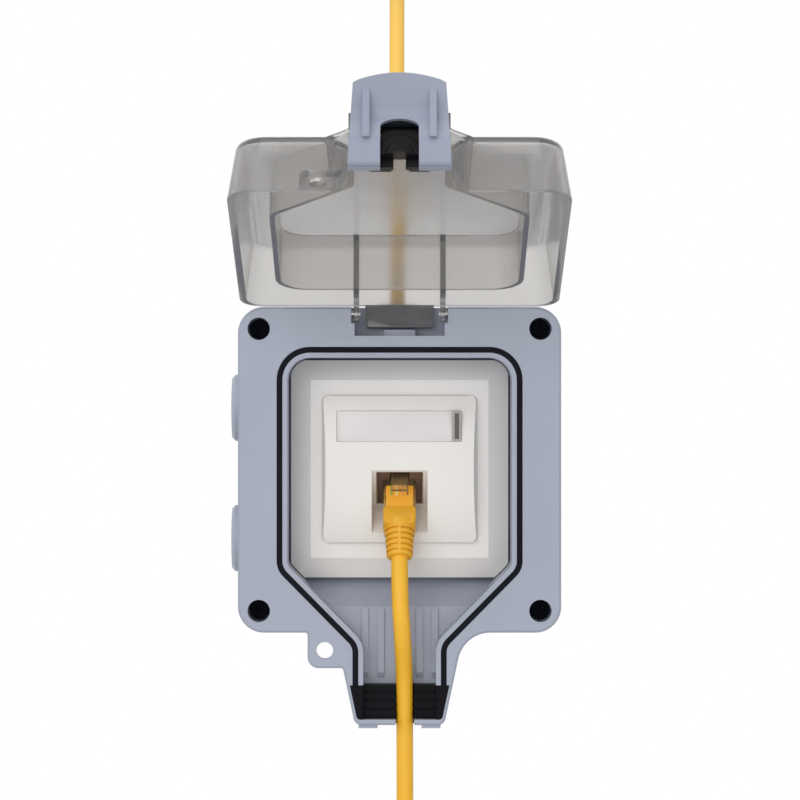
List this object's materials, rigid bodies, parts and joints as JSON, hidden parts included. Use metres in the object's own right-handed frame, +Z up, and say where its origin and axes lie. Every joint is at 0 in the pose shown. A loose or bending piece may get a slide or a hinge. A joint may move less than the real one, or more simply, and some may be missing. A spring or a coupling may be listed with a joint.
{
  "type": "surface mount jack box",
  "caption": "Weatherproof wall box for an angled data jack, hinged smoked lid open, snap latch, patch cord through a sealed bottom outlet.",
  "frame": {"origin": "on the wall, behind the centre of the front frame", "axes": "+X to the viewer's right, +Y into the wall, +Z up; the front faces -Y"},
  "size_m": [0.1384, 0.1962, 0.4418],
  "materials": {
    "back_grey": "moulded satin",
    "front_grey": "moulded satin",
    "latch_grey": "moulded satin",
    "plug_grey": "moulded satin",
    "smoked_clear": "moulded gloss",
    "seal_rubber": "matt",
    "outlet_rubber": "matt",
    "gasket_foam": "matt",
    "grommet_rubber": "matt",
    "bush_rubber": "matt",
    "white_frame": "satin gloss",
    "white_plate": "satin gloss",
    "label_paper": "paper",
    "label_clear": "moulded gloss",
    "screw_steel": "zinc plated",
    "pin_steel": "ground",
    "bridge_steel": "zinc plated",
    "shield_metal": "tinned",
    "contact_gold": "plated",
    "jack_black": "moulded",
    "cap_white": "moulded",
    "plug_clear": "moulded gloss",
    "boot_orange": "soft satin",
    "cord_orange": "soft satin",
    "cable_orange": "soft satin",
    "tie_black": "woven",
    "conduit_grey": "extruded satin"
  },
  "bodies": {
    "base": {"back_box": "back_grey", "frame_gasket": "gasket_foam", "recess_tub": "front_grey", "frame_left": "front_grey", "frame_right": "front_grey", "frame_top": "front_grey", "neck_left": "front_grey", "neck_right": "front_grey", "frame_screws": "screw_steel", "lid_seal": "seal_rubber", "outlet_seal": "outlet_rubber", "hinge_pins": "pin_steel", "mounting_bridge": "bridge_steel", "bridge_screws": "screw_steel", "cover_frame": "white_frame", "centre_plate": "white_plate", "label_card": "label_paper", "label_window": "label_clear", "jack_shield": "shield_metal", "jack_body": "jack_black", "jack_contacts": "contact_gold", "terminal_cap": "cap_white", "plug_body": "plug_clear", "plug_contacts": "contact_gold", "plug_boot": "boot_orange", "patch_cord": "cord_orange", "patch_coil": "cord_orange", "cord_tie": "tie_black", "far_boot": "boot_orange", "far_plug": "plug_clear", "far_contacts": "contact_gold", "supply_cable": "cable_orange", "conduit_end": "conduit_grey", "top_entry_bush": "bush_rubber", "entry_plug_upper": "plug_grey", "entry_plug_lower": "plug_grey"},
    "lid": {"lid_shell": "smoked_clear", "lid_grommet": "grommet_rubber", "latch_pin": "pin_steel"},
    "latch": {"latch": "latch_grey"}
  },
  "joints": [
    {"name": "lid_hinge", "type": "hinge", "parent": "base", "child": "lid", "pos_m": [0, -0.0474, 0.057], "axis": [1, 0, 0], "range_deg": [0, 107]},
    {"name": "latch_hinge", "type": "hinge", "parent": "lid", "child": "latch", "pos_m": [0, -0.1877, 0.11558], "axis": [-1, 0, 0], "range_deg": [0, 28]}
  ]
}
